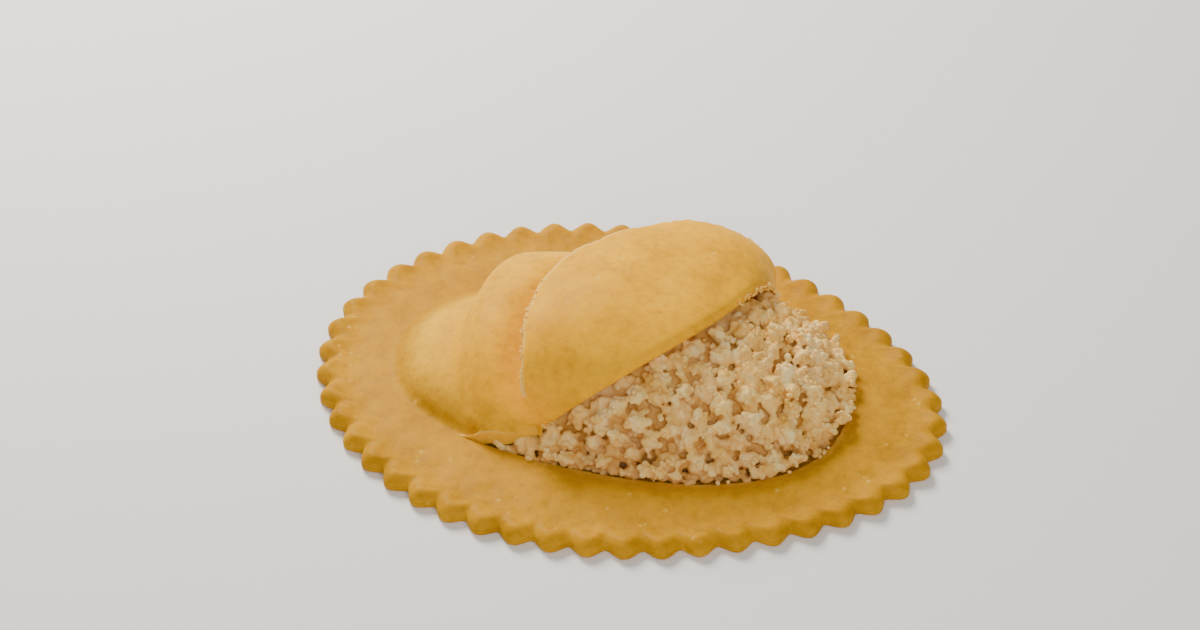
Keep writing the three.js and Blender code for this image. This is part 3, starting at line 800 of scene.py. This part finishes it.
for spot, normal, past in place_clusters(CLUSTERS, CLUSTER_SPACING):
    size = rng.uniform(0.75, 1.6)
    centre = spot - normal * (size * 0.95 + rng.uniform(0.1, 0.9) + sink(past))
    centre.z = max(centre.z, BOTTOM_SHEET + 0.5 * size)
    add_curd(centre, size * 0.85)
    for _ in range(int(size * 15)):
        side = Vector((rng.gauss(0, 1), rng.gauss(0, 1), rng.gauss(0, 1))).normalized()
        if side.dot(normal) < -0.1:
            side = -side
        add_curd(centre + side * size * rng.uniform(0.75, 1.0), rng.uniform(0.3, 0.58))
for spot, normal, past in place_clusters(SMALL_CURDS, SMALL_CURD_SPACING):
    add_curd(spot - normal * (rng.uniform(1.1, 2.1) + sink(past)), rng.uniform(0.3, 0.62))

# Clusters that have slid down to the rim of the opening, some of them over it.
opened_arc = opened_to + 2 * math.pi - opened_from
rim_from = lip_from + 0.45 * (opened_from - lip_from)
rim_arc = opened_to + 2 * math.pi - rim_from
for step in range(RIM_CLUSTERS):
    along = (step + rng.random()) / RIM_CLUSTERS
    angle = np.float64(rim_from + rim_arc * along)
    full = float(smooth_step(0.0, 0.12, along))
    size = (0.35 + 0.75 * rng.random() ** 1.5) * (0.5 + 0.5 * full)
    if rng.random() < RIM_OVERHANGING * full:
        share = 1.0 - 0.02 * rng.random()
        low = FLANGE_TOP + 0.55 * size
    else:
        share = 0.99 - 0.03 * size - 0.04 * rng.random()
        low = BOTTOM_SHEET + 0.7 * size
    x, y = foot_point(angle, share)
    spot = Vector((float(x), float(y), low + size * rng.uniform(0.0, 1.6)))
    add_curd(spot, size * 0.85)
    for _ in range(6):
        side = Vector((rng.gauss(0, 1), rng.gauss(0, 1), abs(rng.gauss(0, 1)))).normalized()
        add_curd(spot + side * size * 0.9, rng.uniform(0.2, 0.45))


def mesh_piece(name, points, faces):
    mesh = bpy.data.meshes.new(name)
    places = (np.concatenate(points) * MM).tolist()
    mesh.from_pydata(places, [], np.concatenate(faces).tolist())
    piece = bpy.data.objects.new(name, mesh)
    bpy.context.collection.objects.link(piece)
    bpy.ops.object.select_all(action="DESELECT")
    piece.select_set(True)
    bpy.context.view_layer.objects.active = piece
    return piece


curds = mesh_piece("curds", curd_points, curd_faces)
filling.select_set(True)
bpy.context.view_layer.objects.active = filling
bpy.ops.object.join()
remesh = filling.modifiers.new("stick_together", "REMESH")
remesh.mode = "VOXEL"
remesh.voxel_size = FILLING_VOXEL * MM
bpy.ops.object.modifier_apply(modifier="stick_together")
thin = filling.modifiers.new("fewer_faces", "DECIMATE")
thin.ratio = min(1.0, FILLING_FACES / (2 * len(filling.data.polygons)))
bpy.ops.object.modifier_apply(modifier="fewer_faces")
places = get_places(filling)
places[:, 2] = np.maximum(places[:, 2], BOTTOM_SHEET)
set_places(filling, places)

# How deep each point lies under the crumbs round it, from a coarse height map. It sets the
# painted shade in the gaps.
CELL = 0.3
REACH = 5
FULL_GAP = 1.6
low = places[:, :2].min(axis=0) - CELL * REACH
cells = ((places[:, :2] - low) / CELL).astype(int)
heights = np.zeros(cells.max(axis=0) + REACH + 2)
np.maximum.at(heights, (cells[:, 0], cells[:, 1]), places[:, 2])
known = (heights > 0).astype(float)
shifts = range(-REACH // 2, REACH // 2 + 1)
for axis in (0, 0, 1, 1):
    heights = sum(np.roll(heights, k, axis) for k in shifts)
    known = sum(np.roll(known, k, axis) for k in shifts)
level = heights / np.maximum(known, 1e-6)
depth = level[cells[:, 0], cells[:, 1]] - places[:, 2]
set_attribute(filling, "gap_shade_depth", np.clip(depth / FULL_GAP, 0, 1))
bpy.ops.object.select_all(action="DESELECT")
filling.select_set(True)
bpy.ops.object.shade_smooth()


# Crumbled cheese and meat: matt and moist, cream where curds stand out, with
# painted shade in honey brown in the gaps between them, and a fine grain.
CURD_PATCHES_PER_METRE = 420.0
MEAT_PATCHES_PER_METRE = 170.0
CURD_GRAINS_PER_METRE = 1900.0
CURD_GRAIN_DEPTH = 0.15
CURD_LIGHT_DEPTH = 0.35


def filling_material():
    material, tree, shader = new_material("crumbled_cheese_filling")
    place = add_node(tree, "ShaderNodeTexCoord", {}, {}).outputs["Object"]
    gap = add_node(tree, "ShaderNodeAttribute", {"attribute_name": "gap_shade_depth"}, {})
    cloud = add_node(
        tree, "ShaderNodeTexNoise",
        {"Scale": CURD_PATCHES_PER_METRE, "Detail": 4.0, "Roughness": 0.6},
        {"Vector": place})
    patch = add_node(
        tree, "ShaderNodeTexNoise",
        {"Scale": MEAT_PATCHES_PER_METRE, "Detail": 2.0}, {"Vector": place})
    crumb = ramp(tree, cloud.outputs["Fac"], [
        (0.32, linear("#e8b65c")), (0.5, linear("#fbd182")), (0.7, linear("#ffe9ab"))])
    tint = ramp(tree, patch.outputs["Fac"], [(0.38, (1.0, 0.96, 0.76, 1)), (0.6, (1, 1, 1, 1))])
    tinted = mix_colours(tree, 1.0, crumb, tint, "MULTIPLY")
    gap_shade_amount = ramp(tree, gap.outputs["Fac"], [(0.25, grey(0.0)), (0.85, grey(0.65))])
    # Painted shade: honey brown laid into the gaps between curds, darker the deeper they lie.
    mixed = mix_colours(tree, gap_shade_amount, tinted, linear("#c88a3a"), "MIX")
    tree.links.new(mixed, shader.inputs["Base Color"])
    shader.inputs["Roughness"].default_value = 0.62
    shader.inputs["IOR"].default_value = 1.4
    shader.inputs["Specular IOR Level"].default_value = 0.15
    shader.inputs["Subsurface Weight"].default_value = 0.1
    shader.inputs["Subsurface Radius"].default_value = (0.8, 0.6, 0.3)
    shader.inputs["Subsurface Scale"].default_value = CURD_LIGHT_DEPTH * MM
    grain = add_node(
        tree, "ShaderNodeTexNoise",
        {"Scale": CURD_GRAINS_PER_METRE, "Detail": 4.0, "Roughness": 0.7},
        {"Vector": place})
    bump = add_node(
        tree, "ShaderNodeBump",
        {"Strength": 0.5, "Distance": CURD_GRAIN_DEPTH * MM}, {"Height": grain.outputs["Fac"]})
    tree.links.new(bump.outputs["Normal"], shader.inputs["Normal"])
    return material


filling.data.materials.clear()
crumbled_filling = filling_material()
filling.data.materials.append(crumbled_filling)
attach(filling, "root")
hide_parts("filling")

# --- Loose crumbs of the filling ----------------------------------------------
# Single curds under a millimetre across that lie on the heap and a few that
# have rolled on to the flange. Same crumbled cheese and meat.
LOOSE_CRUMBS = 520
STRAY_CRUMBS = 12
crumb_points = []
crumb_faces = []
bpy.ops.object.select_all(action="DESELECT")
bpy.ops.mesh.primitive_ico_sphere_add(subdivisions=2, radius=1.0)
ball = bpy.context.object
ball_places = np.array([vertex.co[:] for vertex in ball.data.vertices])
ball_faces = np.array([tuple(face.vertices) for face in ball.data.polygons])
bpy.data.objects.remove(ball)


def add_crumb(points, faces, centre, radii):
    swell = np.array([1 + 0.5 * (rng.random() - 0.5) for _ in ball_places])
    faces.append(ball_faces + len(ball_places) * len(points))
    points.append(turned(ball_places * swell[:, None] * radii) + centre)


heap = get_places(filling)
on_top = depth < 0.6
on_top &= beyond_fold(heap[:, 0], heap[:, 1]) > 1.6
on_top &= heap[:, 2] > FLANGE_TOP
perches = heap[on_top]
for _ in range(LOOSE_CRUMBS):
    perch = perches[rng.randrange(len(perches))]
    size = rng.uniform(0.2, 0.42)
    radii = np.array([size * rng.uniform(0.8, 1.2) for _ in range(3)])
    add_crumb(crumb_points, crumb_faces, perch + np.array([0, 0, size * 0.1]), radii)
for _ in range(STRAY_CRUMBS):
    angle = np.float64(opened_from + 0.1 + (opened_arc - 0.6) * rng.random())
    x, y = foot_point(angle, 1.0 + 0.03 * rng.random() ** 2)
    size = rng.uniform(0.14, 0.36)
    centre = np.array([float(x), float(y), FLANGE_TOP + size * 0.6])
    add_crumb(crumb_points, crumb_faces, centre, np.array([size, size * 0.9, size * 0.8]))
crumbs = mesh_piece("filling_loose_crumbs", crumb_points, crumb_faces)
bpy.ops.object.shade_smooth()
crumbs.data.materials.append(crumbled_filling)
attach(crumbs, "root")
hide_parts("filling")

# --- Torn bits along the cut --------------------------------------------------
# Pale shreds of dough that the knife left on the flap's free edge and at both
# ends of the fold. Same dough, paler where it is torn.
EDGE_SHREDS = 150
FOLD_SHREDS = 260
BARE_EDGE = (0.42, 0.8)
BARE_FOLD = (0.05, 0.68)
edge_line = np.stack([flap_edge[:, 0], flap_edge[:, 1], edge_z], axis=1)
shred_points = []
shred_faces = []
for _ in range(EDGE_SHREDS):
    k = rng.randrange(columns)
    if BARE_EDGE[0] < fold_share[k] < BARE_EDGE[1]:
        continue
    inset = rng.uniform(-0.1, 0.35)
    place = edge_line[k].copy()
    place[:2] -= flap_direction[k] * inset
    place[2] += TOP_SHEET * rng.uniform(-0.2, 0.3)
    size = rng.uniform(0.08, 0.2)
    radii = np.array([size, size * rng.uniform(0.6, 1.0), size * rng.uniform(1.0, 2.2)])
    add_crumb(shred_points, shred_faces, place, radii)
nose_line = sheet_inner[DOME_ROWS + NOSE_ROWS // 2 + 1]
for _ in range(FOLD_SHREDS):
    k = rng.randrange(columns)
    if BARE_FOLD[0] < fold_share[k] < BARE_FOLD[1]:
        continue
    size = rng.uniform(0.07, 0.18)
    place = nose_line[k] + np.array([
        rng.uniform(-0.15, 0.25), rng.uniform(-0.25, 0.15), rng.uniform(-0.5, 0.3)])
    radii = np.array([size, size * rng.uniform(0.5, 0.9), size * rng.uniform(1.2, 3.0)])
    add_crumb(shred_points, shred_faces, place, radii)
shreds = mesh_piece("flap_torn_bits", shred_points, shred_faces)
bpy.ops.object.shade_smooth()
shreds.data.materials.append(egg_dough)
set_attribute(shreds, "skin_and_glow", np.ones(len(shreds.data.vertices)))
set_attribute(shreds, "cut_edge", np.ones(len(shreds.data.vertices)))
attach(shreds, "root")
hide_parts("top_sheet")
